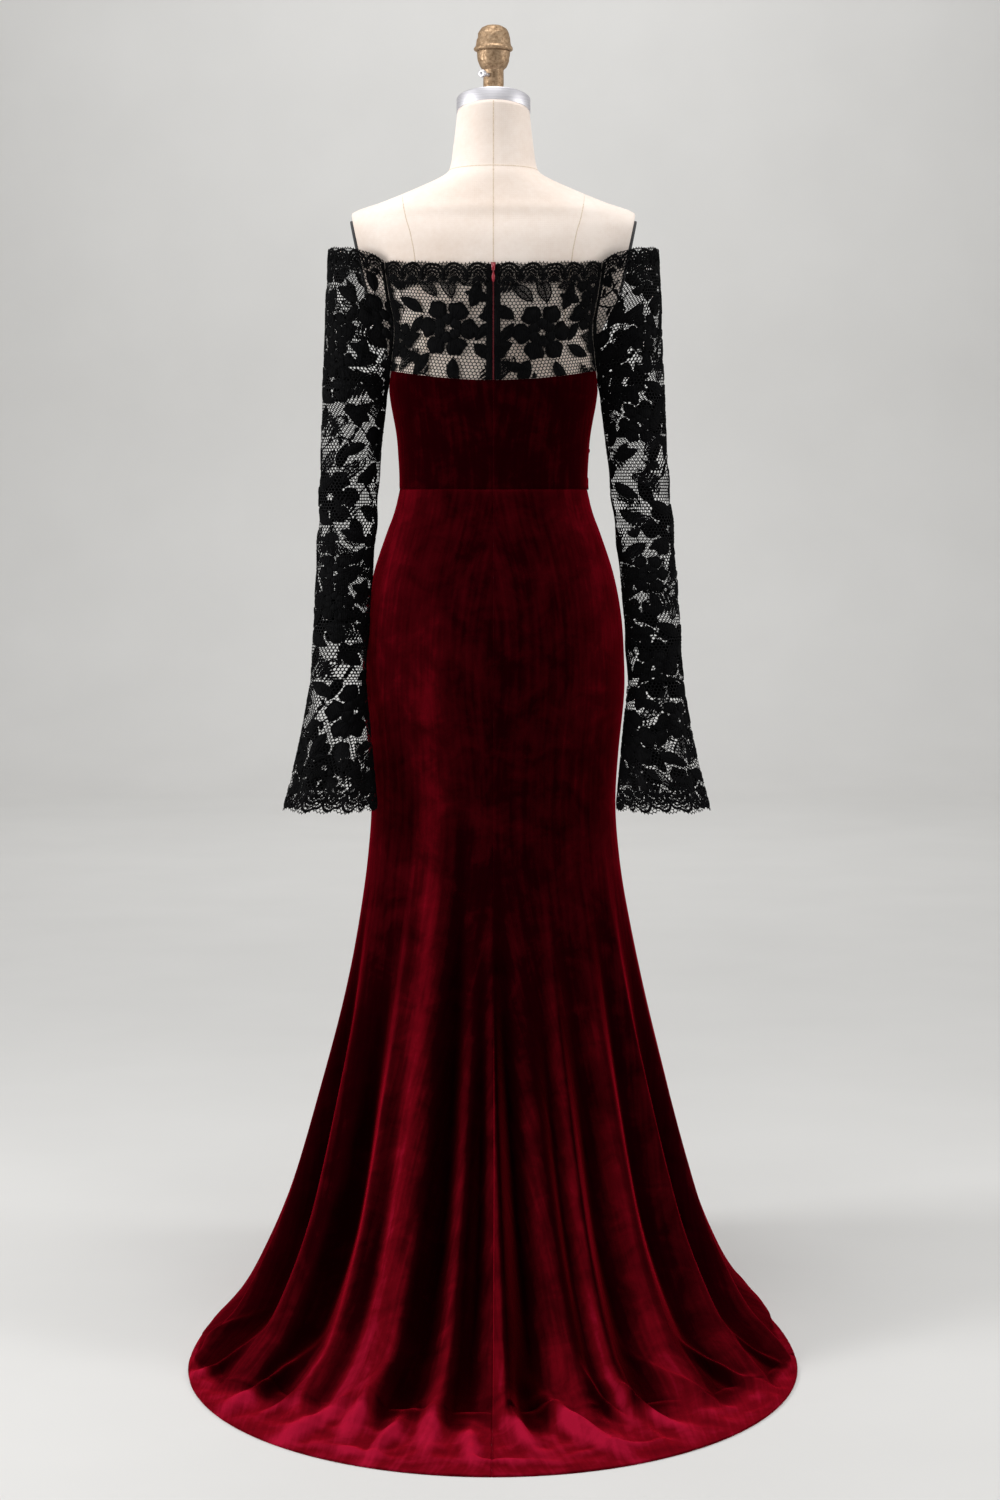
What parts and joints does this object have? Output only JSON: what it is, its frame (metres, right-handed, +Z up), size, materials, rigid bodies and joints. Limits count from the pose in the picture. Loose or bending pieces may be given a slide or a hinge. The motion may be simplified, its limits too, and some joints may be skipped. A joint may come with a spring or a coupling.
{
  "type": "mermaid dress on a limbless dress form",
  "caption": "Floor-length mermaid gown with velvet bodice and train, lace yoke, off-the-shoulder lace sleeves and bell cuffs, back zip, on a limbless dress form with a stand.",
  "frame": {"origin": "on the floor at the middle of the flat underside of the form's base, under its pole", "axes": "+Z up, -Y towards the gown's back and train, +X to the wearer's right"},
  "size_m": [0.752, 1.011, 1.707],
  "materials": {
    "velvet": "burgundy stretch velvet with a bright crimson sheen at grazing angles",
    "lace": "black corded floral lace on a hexagonal net",
    "zip": "crimson enamelled slider and pull, nylon coil of the same colour",
    "linen": "ivory linen cover with vertical seams",
    "arm_plate": "matt dark grey",
    "steel": "satin brushed",
    "brass": "rough cast, aged",
    "iron": "black, satin"
  },
  "bodies": {
    "root": {"skirt_front": "velvet", "skirt_back_left": "velvet", "skirt_back_right": "velvet", "bodice_front": "velvet", "bodice_back_left": "velvet", "bodice_back_right": "velvet", "yoke_front": "lace", "yoke_back_left": "lace", "yoke_back_right": "lace", "sleeve_left": "lace", "sleeve_right": "lace", "cuff_left": "lace", "cuff_right": "lace", "trim_front": "lace", "trim_back_left": "lace", "trim_back_right": "lace", "trim_sleeve_left": "lace", "trim_sleeve_right": "lace", "zip_coil_left": "zip", "zip_coil_right": "zip", "zip_slider": "zip", "form_torso": "linen", "arm_plate_left": "arm_plate", "arm_plate_right": "arm_plate", "neck_plate": "steel", "finial_screw": "steel", "finial_cup": "brass", "finial_cap": "brass", "stand_pole": "iron", "stand_base": "iron"},
    "pull": {"zip_pull": "zip"}
  },
  "joints": [
    {"name": "zip_pull_swing", "type": "hinge", "parent": "root", "child": "pull", "pos_m": [0, -0.10437, 1.3715], "axis": [-1, 0, 0], "range_deg": [0, 120]}
  ]
}
